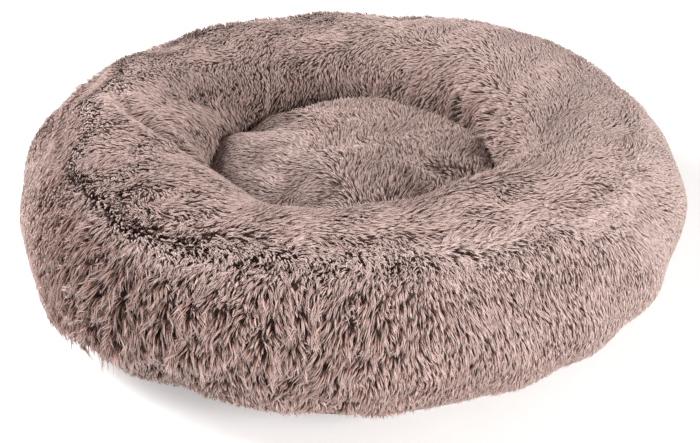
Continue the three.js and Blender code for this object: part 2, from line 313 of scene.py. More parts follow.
shoulder_arc, crown_arc, well_arc = arc_at(SHOULDER_SEAM), arc_at(90), arc_at(180)
print(f"rim section is {rim_arc[-1]:.3f} m from seam to seam, with its shoulder at {shoulder_arc:.3f} m")

# %% [markdown]
# ## How the stuffing swells the rim
# Loose fibre settles into broad lumps, and the cloth is gathered where the wall of the well is sewn down,
# so it falls in soft pleats there. Both are heights over the section, kept in a grid so that looking one up
# is quick.

# %% The rim's swell
BEARINGS, ARCS = 720, 200
JUST_SHORT = 1.001  # taken from a count of rows, so that a place on the last row still has a row after it
grid_bearing = full_turn(BEARINGS)[:, None]
grid_arc = np.linspace(0, rim_arc[-1], ARCS)[None, :]


def rim_points(bearing, arc, lift=0.0):
    """Points on the bare section turned to a bearing, lifted along the outward normal."""
    radius, height = on_section(rim_table, arc, lift)
    return polar(radius, bearing, height)


def bump(x, centre, width):
    """A bell curve."""
    return np.exp(-(((x - centre) / width) ** 2))


def turn_apart(a, b):
    """The signed angle from bearing b to bearing a."""
    return (a - b + np.pi) % (2 * np.pi) - np.pi


def near_bearing(bearing, degrees, width):
    """A bell curve over the bearing, round one that is given in degrees."""
    return bump(turn_apart(bearing, math.radians(degrees)), 0, width)


def round_ring(stops, bearing):
    """A value given at eight bearings, read between them in a straight line."""
    return np.interp(bearing % (2 * np.pi), np.arange(9) * np.pi / 4, np.append(stops, stops[0]))


def fold(bearing, arc, start, end, width, depth):
    """A crease from a start to an end, each a bearing in degrees and an arc past the middle of the well's wall.
    It is a groove along the straight line between them, with a soft roll on each side."""
    mean_radius = 0.24
    ax, ay = math.radians(start[0]) * mean_radius, well_arc + start[1]
    bx, by = math.radians(end[0]) * mean_radius, well_arc + end[1]
    x = turn_apart(bearing, math.radians(start[0])) * mean_radius + ax
    square = (bx - ax) ** 2 + (by - ay) ** 2
    along = np.clip(((x - ax) * (bx - ax) + (arc - ay) * (by - ay)) / square, 0, 1)
    gap = np.hypot(x - ax - along * (bx - ax), arc - ay - along * (by - ay))
    fade = np.sin(np.pi * np.clip(along, 0.12, 0.88))
    return depth * fade * (0.55 * bump(gap, 1.9 * width, width) - bump(gap, 0, width))


def look_up(grid, bearing, arc):
    """Reads the swell grid between its points: linear in bearing, which wraps round, and in arc."""
    b = (bearing / (2 * np.pi) * BEARINGS) % BEARINGS
    a = np.clip(arc / rim_arc[-1], 0, 1) * (ARCS - JUST_SHORT)
    b0, a0 = np.floor(b).astype(int), np.floor(a).astype(int)
    fb, fa = b - b0, a - a0
    b0, b1 = b0 % BEARINGS, (b0 + 1) % BEARINGS
    low = grid[b0, a0] * (1 - fb) + grid[b1, a0] * fb
    high = grid[b0, a0 + 1] * (1 - fb) + grid[b1, a0 + 1] * fb
    return low * (1 - fa) + high * fa


# How far the rim stands out past its section, at eight bearings from the right, anticlockwise: first outside
# the crown line, then inside it.
outer_bulge = np.array([0, -3, -10, -8, -1, -3, 0, 3]) * MM
inner_bulge = np.array([-9, -8, -11, -9, -9, 0, 6, 0]) * MM
CREASES = (
    ((28, -0.10), (12, 0.02), 0.009, 9 * MM),
    ((44, -0.08), (34, 0.02), 0.008, 8 * MM),
    ((120, -0.07), (128, 0.02), 0.009, 7 * MM),
)


def rim_swell():
    """Lumps of the stuffing, broad bulges, pleats towards the well's seam, and a few creases, added up."""
    points = rim_points(grid_bearing, grid_arc)
    swell = 3.2 * MM * wave_field(11, 0.26)(points) + 1.6 * MM * wave_field(12, 0.09)(points)
    inside = ease(grid_arc, crown_arc - 0.02, crown_arc + 0.06)
    snug = ease(grid_arc, well_arc - 0.08, well_arc - 0.035)
    tuck = 4 + 11 * near_bearing(grid_bearing, 168, 0.5)
    inner = round_ring(inner_bulge, grid_bearing) * (1 - snug) + tuck * MM * snug
    swell = swell + round_ring(outer_bulge, grid_bearing) * (1 - inside) + inner * inside
    low_bulge = near_bearing(grid_bearing, 236, 0.5) * bump(grid_arc, 0.06, 0.045)
    swell = swell + 9 * MM * low_bulge
    swell = swell + 6 * MM * near_bearing(grid_bearing, 20, 0.35) * bump(grid_arc, 0.2, 0.1)
    drift = 0.35 * np.sin(3 * grid_bearing + 1) + 0.3 * np.sin(7 * grid_bearing)
    pleats = np.abs(np.sin(15 * grid_bearing + drift * 2)) ** 0.7 - 0.6
    share = 0.45 + 0.55 * np.sin(2.5 * grid_bearing + 0.6) ** 2
    swell = swell + 6.5 * MM * pleats * share * ease(grid_arc, well_arc - 0.075, well_arc + 0.03)
    swell = swell + fold(grid_bearing, grid_arc, (176, -0.16), (212, -0.03), 0.013, 20 * MM)
    roll = near_bearing(grid_bearing, 222, 0.26) * bump(grid_arc, well_arc - 0.085, 0.045)
    swell = swell + 12 * MM * roll
    swell = swell - 5 * MM * near_bearing(grid_bearing, 172, 0.4) * inside
    for crease in CREASES:
        swell = swell + fold(grid_bearing, grid_arc, *crease)
    return swell - 3.5 * MM * bump(grid_arc, shoulder_arc, 0.012)


# The cloth is held at its two seams, so whatever swells it dies away there.
held = ease(grid_arc, 0, 0.035) * (1 - ease(grid_arc, rim_arc[-1] - 0.03, rim_arc[-1]))
rim_grid = rim_swell() * held
print(f"swell from {rim_grid.min() / MM:.1f} to {rim_grid.max() / MM:.1f} mm")

# %% [markdown]
# ## Letting the cloth find its own wrinkles
# The lumps so far are drawn one by one. Real cloth, blown up by its filling and held at its seams, adds
# wrinkles of its own. So a copy of the skin is simulated as cloth: the seams are pinned, the filling is a
# pressure from inside, and the cloth gets some slack, most of all where it is gathered into the well's
# seam. Only the movement along the normal is kept, and it is capped, because the frame's solids say how big
# the bed may be.

# %% Cloth simulation
BLOWING_STEPS = 20
PRESSURE = 4.0
MOST_IN, MOST_OUT = 5 * MM, 11 * MM


def simulate_skin(name, points, pinned, slack):
    """How far each point of a wrapped grid moves along its normal when the skin is blown up: the product
    (simulated - start) . normal, capped each way. pinned and slack hold one value for each row."""
    rows, columns = points.shape[:2]
    skin = mesh_object(name, points, grid_faces(rows, columns, True))
    normal = np.zeros(rows * columns * 3)
    skin.data.vertices.foreach_get("normal", normal)
    for key, weights in (("pinned", pinned), ("slack", slack)):
        group = skin.vertex_groups.new(name=key)
        for row, weight in enumerate(weights):
            group.add(range(row * columns, (row + 1) * columns), float(weight), "REPLACE")
    cloth = skin.modifiers.new("Cloth", "CLOTH")
    settings = cloth.settings
    settings.quality = 6
    settings.mass = 0.25
    settings.tension_stiffness = settings.compression_stiffness = 18
    settings.shear_stiffness = 8
    settings.bending_stiffness = 0.6
    settings.vertex_group_mass = "pinned"
    settings.vertex_group_shrink = "slack"
    settings.shrink_min, settings.shrink_max = 0.0, -0.14
    settings.use_pressure = True
    settings.uniform_pressure_force = PRESSURE
    settings.effector_weights.gravity = 0
    cloth.collision_settings.use_collision = False
    cloth.collision_settings.use_self_collision = False
    for step in range(1, BLOWING_STEPS + 1):
        scene.frame_set(step)
    blown = skin.evaluated_get(bpy.context.evaluated_depsgraph_get())
    moved = np.zeros(rows * columns * 3)
    blown.data.vertices.foreach_get("co", moved)
    scene.frame_set(1)
    bpy.data.objects.remove(skin)
    shift = ((moved.reshape(-1, 3) - points.reshape(-1, 3)) * normal.reshape(-1, 3)).sum(axis=1)
    return np.clip(shift, -MOST_IN, MOST_OUT).reshape(rows, columns)


def refine(grid, rows, columns):
    """A wrapped grid read at more rows and columns, in a straight line between its own."""
    across = np.arange(columns) / columns * grid.shape[1]
    whole = np.floor(across).astype(int)
    part = across - whole
    wide = grid[:, whole] * (1 - part) + grid[:, (whole + 1) % grid.shape[1]] * part
    down = np.linspace(0, grid.shape[0] - JUST_SHORT, rows)
    whole = np.floor(down).astype(int)
    part = (down - whole)[:, None]
    return wide[whole] * (1 - part) + wide[whole + 1] * part


SKIN_ROWS, SKIN_COLUMNS = 84, 330
skin_arc = np.linspace(0, rim_arc[-1], SKIN_ROWS)[:, None]
skin_bearing = full_turn(SKIN_COLUMNS)[None, :]
skin_start = rim_points(skin_bearing, skin_arc, look_up(rim_grid, skin_bearing, skin_arc) - 6 * MM)
seams = 1.0 * ((skin_arc < 0.012) | (skin_arc > rim_arc[-1] - 0.012))[:, 0]
gathers = 0.25 + 0.75 * ease(skin_arc[:, 0], well_arc - 0.10, well_arc + 0.02)
rim_blown = simulate_skin("rim_skin", skin_start, seams, gathers)
rim_grid = rim_grid + refine(rim_blown - rim_blown.mean(), ARCS, BEARINGS).T * held
print(f"blown skin moved from {rim_blown.min() / MM:.1f} to {rim_blown.max() / MM:.1f} mm")


BACKING_DEPTH = 11 * MM


def on_rim(bearing, arc, lift):
    """Points at a lift over the plush's backing, which lies one pile depth under the outer face."""
    return rim_points(bearing, arc, look_up(rim_grid, bearing, arc) - BACKING_DEPTH + lift)


# %% [markdown]
# ## The cushion's skin
# The cushion is a domed disc. A bearing and a distance from the middle would crowd all the points together
# at the pole, so its cloth is laid out flat instead: a point of the plane is as far from the origin as the
# cloth runs from the middle of the dome, in the same direction. The section then says where that point goes
# in space.

# %% The cushion's section
cushion_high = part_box("cushion_top_panel")[1]
cushion_radius = cushion_high.x
CUSHION_ROUNDNESS = 3.6
CUSHION_WAIST = 0.070
CUSHION_EDGE = 0.127
CUSHION_SEAM = -35
cushion_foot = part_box("cushion_base_panel")[0].z
cushion_dome = cushion_high.z - CUSHION_EDGE


def cushion_section(angle):
    """Radius and height on the cushion's section: a superellipse with a shallow dome over its top."""
    across, up = superellipse(angle, CUSHION_ROUNDNESS)
    radius = cushion_radius * np.maximum(across, 0)
    height = np.where(up > 0, CUSHION_EDGE - CUSHION_WAIST, CUSHION_WAIST - cushion_foot)
    dome = cushion_dome * np.maximum(up, 0) * (1 - (radius / cushion_radius) ** 2)
    return radius, CUSHION_WAIST + height * up + dome


cushion_angles = np.radians(np.linspace(90, CUSHION_SEAM, FINE))
cushion_table = section_table(*cushion_section(cushion_angles))
cushion_arc = cushion_table["arc"]
cushion_table["nr"], cushion_table["nz"] = -cushion_table["nr"], -cushion_table["nz"]
cushion_grid = np.zeros((BEARINGS, ARCS))
cushion_lumps = wave_field(21, 0.12)
cushion_dents = wave_field(22, 0.05)


def cushion_swell(points):
    """Lumps of the stuffing over the top, and a shallow dip where the pile parts."""
    dip = bump(points[..., 0] + 0.3 * points[..., 1], -0.035, 0.02) * bump(points[..., 1], 0.0, 0.1)
    swell = 3.0 * MM * cushion_lumps(points) + 1.2 * MM * cushion_dents(points) - 3 * MM * dip
    bearing = np.arctan2(points[..., 1], points[..., 0]) % (2 * np.pi)
    arc = np.hypot(points[..., 0], points[..., 1]) / cushion_arc[-1] * rim_arc[-1]
    edge = 6 + 4 * near_bearing(bearing, 180, 0.6)
    edge = edge * MM * ease(np.hypot(points[..., 0], points[..., 1]), 0.12, 0.17)
    return np.maximum(swell + edge + look_up(cushion_grid, bearing, arc), -3 * MM)


def on_cushion(x, y, lift):
    """Points at a lift over the backing, for places on the laid-out cloth. The backing comes up to meet the
    base panel at their seam."""
    arc = np.hypot(x, y)
    bearing = np.arctan2(y, x)
    flat = np.stack([x, y, np.zeros_like(x)], axis=-1)
    sunk = 1 - 0.95 * ease(arc, cushion_arc[-1] - 0.03, cushion_arc[-1] - 0.002)
    rise = (cushion_swell(flat) - BACKING_DEPTH) * sunk + lift
    radius, height = on_section(cushion_table, arc, rise)
    return polar(radius, bearing, height)


cushion_rows = np.linspace(0.002, cushion_arc[-1], 60)[:, None]
cushion_columns = full_turn(200)[None, :]
start_x, start_y = cushion_rows * np.cos(cushion_columns), cushion_rows * np.sin(cushion_columns)
cushion_start = on_cushion(start_x, start_y, 6 * MM)
cushion_seam = 1.0 * (cushion_rows > cushion_arc[-1] - 0.01)[:, 0]
cushion_slack = 0.2 + 0.3 * ease(cushion_rows[:, 0], 0.13, 0.19)
cushion_blown = simulate_skin("cushion_skin", cushion_start, cushion_seam, cushion_slack)
cushion_grid = refine(cushion_blown - cushion_blown.mean(), ARCS, BEARINGS).T
print(f"the cushion's cloth runs {cushion_arc[-1]:.3f} m from the middle to its seam")
print(f"blown cushion moved from {cushion_blown.min() / MM:.1f} to {cushion_blown.max() / MM:.1f} mm")

# %% [markdown]
# ## One strand, many times
# A strand of pile stands out of the backing, bends over and lies along the nap. A hair system would draw
# it, but a hair isn't a mesh, so it couldn't be exported. Here each strand is a slim closed spindle: a
# root, a ring of three points where it bends, and a tip. That is six triangles, the least that can still
# bend. The strands come as one block of arrays, so a quarter of a million of them take only a few seconds.

# %% Strands from arrays
BEND = 0.5
ALONG = np.array([0.0, BEND, BEND, BEND, 1.0])
POINTS_EACH = len(ALONG)
ROOT_POINT, TIP_POINT = 0, 4
SIDES = [(1, 2), (2, 3), (3, 1)]
FACES = np.array([(ROOT_POINT, b, a) for a, b in SIDES] + [(a, b, TIP_POINT) for a, b in SIDES])
# Where each corner of those faces lies in a unit square: a column for each side, and the strand's length up it.
LOWER_MAP, UPPER_MAP = ((0.16, 0), (0.32, BEND), (0, BEND)), ((0, BEND), (0.32, BEND), (0.16, 1))
MAP = np.array([(side / 3 + x, y) for faces in (LOWER_MAP, UPPER_MAP) for side in range(3) for x, y in faces])


def pile_object(name, points, tint, depth):
    """Makes one mesh of many strands. points holds each strand's own points; tint, how pale it is, painted
    shade included; and depth, how far up it the dark root reaches, which is painted shade among the locks."""
    count = len(points)
    mesh = bpy.data.meshes.new(name)
    mesh.vertices.add(count * POINTS_EACH)
    mesh.vertices.foreach_set("co", points.astype(np.float32).ravel())
    corners = (np.arange(count)[:, None] * POINTS_EACH + FACES.ravel()[None, :]).ravel()
    mesh.loops.add(len(corners))
    mesh.loops.foreach_set("vertex_index", corners.astype(np.int32))
    mesh.polygons.add(len(corners) // 3)
    mesh.polygons.foreach_set("loop_start", np.arange(0, len(corners), 3, dtype=np.int32))
    mesh.update(calc_edges=True)
    mesh.polygons.foreach_set("use_smooth", np.ones(len(corners) // 3, bool))
    give_values(mesh, "along", np.tile(ALONG, count))
    give_values(mesh, "tint", np.repeat(tint, POINTS_EACH))
    give_values(mesh, "depth", np.repeat(depth, POINTS_EACH))
    columns = math.ceil(math.sqrt(count))
    cell = np.stack([np.arange(count) % columns, np.arange(count) // columns], axis=-1)
    spots = (cell[:, None, :] + 0.1 + 0.8 * MAP[None, :, :]) / columns
    mesh.uv_layers.new(name="OFBake").data.foreach_set("uv", spots.astype(np.float32).ravel())
    return in_scene(name, mesh)


# %% [markdown]
# ## How a lock grows
# Strands grow in locks: a few roots close together, whose tips meet. Each lock has its own heading, length
# and height, so locks overlap like untidy thatch and leave dark gaps. Wider waves then pull the tips of
# neighbouring locks together, which makes the tufts that shaggy plush has.

# %% Growing strands
PER_LOCK = 2
stray_fields = [wave_field(31, 0.0085, 12), wave_field(32, 0.0085, 12)]
tuft_fields = [wave_field(33, 0.022), wave_field(34, 0.022)]
length_field = wave_field(35, 0.05)


def grow(place, u, v, heading, look, seed):
    """Strand points for locks rooted at (u, v) of a skin, with each strand's tint and its lock's roughness.

    place(u, v, forward, sideways, lift) gives the points that lie that far along the cloth from the root. Each
    strand's middle line goes forward by its length times the share t, rises by its height times 1 - (1 - t)^3,
    and starts beside the lock's middle by an offset that shrinks with t. Round its bend the strand is a flat
    triangle. look holds an array for each of: length, height, width, spread, shade, which is painted shade
    taken off the tint (painted light where it is negative), and rough, which is 0 for combed pile and also sets
    how far the root's painted shade reaches.
    """
    draw = np.random.default_rng(seed)
    locks = len(u)
    u, v = np.repeat(u, PER_LOCK), np.repeat(v, PER_LOCK)
    count = len(u)
    length, height, width, spread, rough = (
        np.repeat(look[key], PER_LOCK) for key in ("length", "height", "width", "spread", "rough")
    )

    def lock_draw(low, high):
        return np.repeat(draw.uniform(low, high, locks), PER_LOCK)

    turn = np.radians(
        np.repeat(heading, PER_LOCK) + lock_draw(-12, 12) * (0.35 + rough) + draw.uniform(-6, 6, count)
    )
    size = length * (1 + (0.12 + 0.14 * rough) * lock_draw(-1, 1)) * draw.uniform(0.75, 1.1, count)
    rise = height * (1 + (0.07 + 0.4 * rough) * lock_draw(-1, 1))
    beside_u, beside_v = draw.normal(0, 1, (2, count)) * spread
    root = place(u, v, 0 * u, 0 * u, 0 * u)
    reach = 0.25 + 0.75 * rough
    tufted = (2.0 + 3.6 * ease(rough, 0.55, 1.0)) * MM
    fields = zip(stray_fields, tuft_fields)
    pull = [(1.4 * MM * stray(root) + tufted * tuft(root)) * reach for stray, tuft in fields]
    t = np.array([[0.0, BEND, 1.0]])
    gather = 1 - (0.75 + 0.15 * rough[:, None]) * t
    ahead = size[:, None] * t
    side = 0.06 * size[:, None] * np.sin(np.pi * t) * lock_draw(-1, 1)[:, None]
    du = ahead * np.cos(turn)[:, None] - side * np.sin(turn)[:, None] + beside_u[:, None] * gather
    dv = ahead * np.sin(turn)[:, None] + side * np.cos(turn)[:, None] + beside_v[:, None] * gather
    du, dv = du + pull[0][:, None] * t**1.5, dv + pull[1][:, None] * t**1.5
    flare = (draw.uniform(-0.1, 0.1, count) * (0.2 + rough) + lock_draw(-0.1, 0.35) * rough)[:, None] * t**3
    lift = rise[:, None] * (1 - (1 - t) ** 3 + flare)
    line = place(u[:, None], v[:, None], du, dv, lift)
    normal = (place(u[:, None], v[:, None], du, dv, lift + 1 * MM) - line)[:, 1] / (1 * MM)
    across = np.cross(line[:, 2] - line[:, 0], normal)
    across /= np.linalg.norm(across, axis=-1, keepdims=True) + 1e-12
    half = (0.5 * width * draw.uniform(0.8, 1.2, count))[:, None]
    bend = line[:, 1]
    ring = [bend - across * half, bend + across * half, bend + normal * half * (0.4 + 0.9 * rough[:, None])]
    points = np.stack([line[:, 0], *ring, line[:, 2]], axis=1)
    points[..., 2] = np.maximum(points[..., 2], 0.6 * MM)
    tint = (lock_draw(-0.3, 0.3) + draw.uniform(-0.3, 0.3, count)) * (0.5 + 0.8 * rough)
    # The look's shade is painted shade taken off the tint; where it is negative it paints the strand paler.
    tint = np.clip(0.5 + tint - np.repeat(look["shade"], PER_LOCK), 0, 1)
    return points, tint, rough


def rim_place(u, v, du, dv, lift):
    """A place near a root of the rim: along the ring by du, up the section by dv."""
    radius = np.interp(v + 0.5 * dv, rim_arc, rim_table["r"])
    return on_rim(u + du / radius, v + dv, lift)


def cushion_place(u, v, du, dv, lift):
    """A place near a root of the cushion, on its laid-out cloth."""
    return on_cushion(u + du, v + dv, lift)


# %% [markdown]
# ## The nap
# Someone has stroked this bed. On the outer wall the pile hangs straight down. Along the shoulder it parts,
# and on the crown it sweeps round the ring at the front and the back, falls inwards on the left and
# outwards on the right. In the well it points down to the cushion.

# %% The rim's nap
# The heading on the crown at eight bearings from the right, anticlockwise: 0 goes round the ring, 90 into the
# well.
crown_heading = np.array([-24, -24, 24, 30, 70, 18, -22, -34], float)
wall_lean = np.array([55, 20, 0, 50, 70, 13, 0, -4], float)
nap_swirl = wave_field(41, 0.11)
nap_ripple = wave_field(42, 0.045)
parting_shift = wave_field(43, 0.12)


def parting_arc(points):
    """Where the pile parts: near the shoulder, further up on the left, and wandering a little."""
    left = near_bearing(np.arctan2(points[..., 1], points[..., 0]), 180, 0.5)
    return shoulder_arc + 7 * MM * parting_shift(points) + 40 * MM * left


def rim_heading(bearing, arc):
    """The nap's heading in degrees: down the wall, past the parting the crown's own, then into the well."""
    points = rim_points(bearing, arc)
    over = ease(arc - parting_arc(points), -8 * MM, 10 * MM)
    inward = ease(arc, crown_arc + 0.02, well_arc - 0.03)
    top = round_ring(crown_heading, bearing)
    wall = round_ring(wall_lean, bearing) - 90
    crown = top + (80 - top) * inward
    loose = 0.35 + 0.5 * over
    return wall + (crown - wall) * over + (24 * nap_swirl(points) + 15 * nap_ripple(points)) * loose


wall_rough = np.array([0.0, 0.1, 0.4, 0.45, 0.42, 1.0, 0.8, 0.2])
crown_rough = np.array([0.05, 0.1, 0.2, 0.25, 0.3, 0.33, 0.3, 0.15])


def rim_roughness(bearing, arc):
    """How untidy the pile is, from 0 to 1: most on the front left of the wall, least on the right. It also sets
    how much painted shade the roots and the ground under them get, so its dip on the left shoulder paints that
    paler.
    """
    over = ease(arc, shoulder_arc, shoulder_arc + 0.05)
    well = ease(arc, crown_arc + 0.03, well_arc - 0.03)
    crown = round_ring(crown_rough, bearing)
    wall = round_ring(wall_rough, bearing) - 0.4 * near_bearing(bearing, 194, 0.2)
    return np.clip(wall * (1 - over) + (crown + (0.55 - crown) * well) * over, 0, 1)


def scatter(low, high, pitch, draw, area_radius):
    """Roots in rows along the ring: a jittered grid with one root for each pitch by pitch of cloth."""
    roots_u, roots_v = [], []
    for row in np.arange(low[1] + pitch / 2, high[1], pitch):
        radius = area_radius(row)
        number = max(1, int(round((high[0] - low[0]) * radius / pitch)))
        places = low[0] + (np.arange(number) + draw.uniform(0, 1, number)) * (high[0] - low[0]) / number
        roots_u.append(places)
        roots_v.append(row + draw.uniform(-0.6, 0.6, number) * pitch)
    return np.concatenate(roots_u), np.concatenate(roots_v)


def rim_radius(arc):
    """The ring's radius at an arc of the section."""
    return float(np.interp(arc, rim_arc, rim_table["r"]))


# %% The pile's finish
# The dark end of each ramp, at the root, is painted shade among the locks: near black in the rough ramp, a
# lighter brown in the smooth one. The pale tips are the pile's own colour.
SMOOTH_PILE_WITH_PAINTED_SHADE = ((0.0, (0.38, 0.25, 0.215, 1)), (0.35, (0.62, 0.46, 0.415, 1)), (1.0, (0.73, 0.575, 0.54, 1)))
ROUGH_PILE_WITH_PAINTED_SHADE = ((0.0, (0.035, 0.009, 0.004, 1)), (0.5, (0.42, 0.25, 0.205, 1)), (1.0, (0.92, 0.735, 0.69, 1)))
# The ground between the locks is painted dark as painted shade, near black under rough pile.
SMOOTH_GROUND_PAINTED_SHADE = ((0.3, (0.26, 0.16, 0.135, 1)), (0.7, (0.5, 0.36, 0.32, 1)))
ROUGH_GROUND_PAINTED_SHADE = ((0.3, (0.045, 0.015, 0.009, 1)), (0.7, (0.14, 0.066, 0.048, 1)))


def read_value(tree, name):
    """A node that reads one number of each point by its name."""
    node = tree.nodes.new("ShaderNodeAttribute")
    node.attribute_name = name
    return node.outputs["Fac"]


def socket_of(sockets, name, kind):
    """The socket of a name and a type, because a mix node has sockets of the same name for every type."""
    return next(socket for socket in sockets if socket.name == name and socket.type == kind)


def colour_between(tree, along, smooth, rough):
    """Two colour ramps read at one place and mixed by the depth value, the amount of painted shade: smooth pile
    at 0, rough pile at 1.
    """
    mix = tree.nodes.new("ShaderNodeMix")
    mix.data_type = "RGBA"
    for stops, end in ((smooth, "A"), (rough, "B")):
        ramp = tree.nodes.new("ShaderNodeValToRGB")
        elements = ramp.color_ramp.elements
        elements[0].position, elements[0].color = stops[0]
        elements[1].position, elements[1].color = stops[-1]
        for position, colour in stops[1:-1]:
            elements.new(position).color = colour
        tree.links.new(along, ramp.inputs["Fac"])
        tree.links.new(ramp.outputs["Color"], socket_of(mix.inputs, end, "RGBA"))
    tree.links.new(read_value(tree, "depth"), socket_of(mix.inputs, "Factor", "VALUE"))
    return socket_of(mix.outputs, "Result", "RGBA")


def pile_finish():
    """Brown at the root, as painted shade among the locks, and pale at the tip, with every strand a little
    lighter or darker than the next.
    """
    made, tree, shader = node_material("plush_pile")
    colour = colour_between(tree, read_value(tree, "along"), SMOOTH_PILE_WITH_PAINTED_SHADE, ROUGH_PILE_WITH_PAINTED_SHADE)
    vary = tree.nodes.new("ShaderNodeHueSaturation")
    value = tree.nodes.new("ShaderNodeMapRange")
    value.inputs["To Min"].default_value = 0.74
    value.inputs["To Max"].default_value = 1.2
    tree.links.new(read_value(tree, "tint"), value.inputs["Value"])
    tree.links.new(value.outputs["Result"], vary.inputs["Value"])
    tree.links.new(colour, vary.inputs["Color"])
    tree.links.new(vary.outputs["Color"], shader.inputs["Base Color"])
    shader.inputs["Roughness"].default_value = 0.62
    shader.inputs["Specular IOR Level"].default_value = 0.22
    shader.inputs["Sheen Weight"].default_value = 0.2
    shader.inputs["Sheen Roughness"].default_value = 0.45
    shader.inputs["Sheen Tint"].default_value = (1.0, 0.93, 0.90, 1)
    return made


plush_pile = pile_finish()

# %% Grow the rim's pile
PITCH = 3.05 * MM


def combed_and_painted_pale(bearing, arc):
    """How far a place lies on the left shoulder, where the pile stands close and its colour is painted paler,
    as painted light.
    """
    return near_bearing(bearing, 182, 0.42) * (1 - ease(arc, crown_arc, well_arc))


# The ragged line's bearings, and its arcs there.
EAVES_BEARINGS = np.radians((200, 215, 226, 238, 253, 275))
EAVES_ARCS = (0.06, 0.079, 0.099, 0.115, 0.132, 0.14)


def under_eaves(bearing, arc, points):
    """On the front left of the wall the long locks end in a ragged line, like eaves, over a band of short pile.
    Gives how far a place lies in the band, and how near it lies above the line, both from 0 to 1."""
    line = np.interp(bearing, EAVES_BEARINGS, EAVES_ARCS) + 5 * MM * length_field(points * 2)
    here = near_bearing(bearing, 229, 0.42)
    return here * (1 - ease(arc - line, -12 * MM, 0)), here * bump(arc - line, 10 * MM, 11 * MM)


def rim_pile(name, bearings, arcs, seed):
    """One piece of the rim's pile, between two bearings in degrees and two arcs."""
    draw = np.random.default_rng(seed)
    foot, top = arcs
    low, high = (math.radians(bearings[0]), foot), (math.radians(bearings[1]), top)
    u, v = scatter(low, high, PITCH, draw, rim_radius)
    near = np.abs(v - parting_arc(rim_points(u, v))) < 20 * MM
    u = np.concatenate([u, u[near] + draw.uniform(-6, 6, near.sum()) * MM])
    v = np.concatenate([v, v[near] + draw.uniform(-4, 4, near.sum()) * MM])
    under = 1 - ease(v, 0.02, 0.075)
    hidden = ease(v, well_arc + 0.02, well_arc + 0.05)
    keep = draw.uniform(0, 1, len(u)) > 0.55 * under + 0.8 * hidden + 0.3 * (rim_roughness(u, v) - 0.3)
    u, v, under, hidden = u[keep], v[keep], under[keep], hidden[keep]
    points = rim_points(u, v)
    rough = rim_roughness(u, v)
    parted = bump(v - parting_arc(points), 0, 16 * MM)
    combed = combed_and_painted_pale(u, v)
    crest = near_bearing(u, 312, 0.55) * bump(v, crown_arc + 0.05, 0.02)
    rough = np.maximum(rough, 0.55 * crest)
    short, eaves = under_eaves(u, v, points)
    rough = rough * (1 - 0.35 * short)
    apron = bump(v, foot + 0.004, 0.012) * (foot > 0.01)
    length = (15 + 2 * rough) * MM * (1 + 0.14 * length_field(points))
    stand = 0.75 + 0.2 * rough - 0.3 * under + 0.25 * parted + 0.6 * crest - 0.35 * short + 0.3 * eaves
    # A painted shadow over the front left of the wall, below the shoulder.
    front_left_painted_shade = near_bearing(u, 230, 0.3) * (1 - ease(v, 0.16, shoulder_arc))
    look = {
        "length": length * (1 - 0.3 * under * (1 - apron) - 0.25 * parted - 0.5 * short + 0.3 * eaves),
        "height": BACKING_DEPTH * (1 - 0.2 * combed) * (stand + 0.55 * apron),
        "width": (1.25 + 0.35 * rough) * MM * (1 + 0.3 * under + 0.6 * hidden),
        "spread": 0.9 * MM * np.ones(len(u)),
        # Painted shade: darker in the short band under the eaves, over the rear crown and on the front left;
        # negative, so painted paler, on the left shoulder.
        "shade": 0.5 * short + 0.2 * near_bearing(u, 80, 0.8) - 0.35 * combed + 0.42 * front_left_painted_shade,
        # Less rough at the parting, which also thins the painted shade at the roots there.
        "rough": rough * (1 - 0.85 * parted),
    }
    heading = rim_heading(u, v) + draw.normal(0, 30, len(u)) * parted * (1 - 0.6 * combed)
    strands, tint, depth = grow(rim_place, u, v, heading, look, seed + 1)
    # Less painted shade at the roots near the parting and on the left shoulder, so the pile is painted paler
    # there.
    pale = np.maximum(0.8 * bump(v - parting_arc(points), 0, 32 * MM), 0.8 * combed)
    piece = pile_object(name, strands, tint, depth * (1 - np.repeat(pale, PER_LOCK)))
    dress(piece, plush_pile, "plush", "bed")
    print(f"{name}: {len(strands)} strands, {len(strands) * len(FACES)} triangles")


def cut(span, count):
    """A span of bearings cut into equal shares."""
    step = (span[1] - span[0]) / count
    return [(span[0] + i * step, span[0] + (i + 1) * step) for i in range(count)]


rear, front = (0, 180), (180, 360)
PILE_FOOT = {"rear": 0.0255, "front": 0.004}  # higher at the rear, where the zip takes the foot of the wall
seed = 100
for side, span in (("rear", rear), ("front", front)):
    wall, crown = (PILE_FOOT[side], shoulder_arc), (shoulder_arc, rim_arc[-1] - 0.01)
    for panel, count, arcs in (("wall", 3, wall), ("crown", 2, crown)):
        for i, part in enumerate(cut(span, count)):
            seed += 10
            rim_pile(f"{panel}_pile_{side}_{i + 1}", part, arcs, seed)

# %% [markdown]
# ## The cushion's pile
# The cushion has been lain on, so its pile is flatter than the rim's. It is swept to the left over one half
# and to the back over the other, and the two sweeps meet in a shallow valley. Its roots sit in rings over
# the laid-out cloth, which keeps them as far apart at the middle as at the edge.

# %% The cushion's pile
cushion_swirl = wave_field(51, 0.10)
cushion_ripple = wave_field(52, 0.04)


def right_half(x, y):
    """0 on the left of the cushion and 1 on the right, with an easy slope along the valley."""
    return ease(x + 0.25 * y, -0.05, 0.0)


def cushion_heading(x, y):
    """Degrees from the right: to the left and a little back over the left half, backwards on the right."""
    points = np.stack([x, y, 0 * x], axis=-1)
    return 182 - 88 * right_half(x, y) + 20 * cushion_swirl(points) + 16 * cushion_ripple(points)


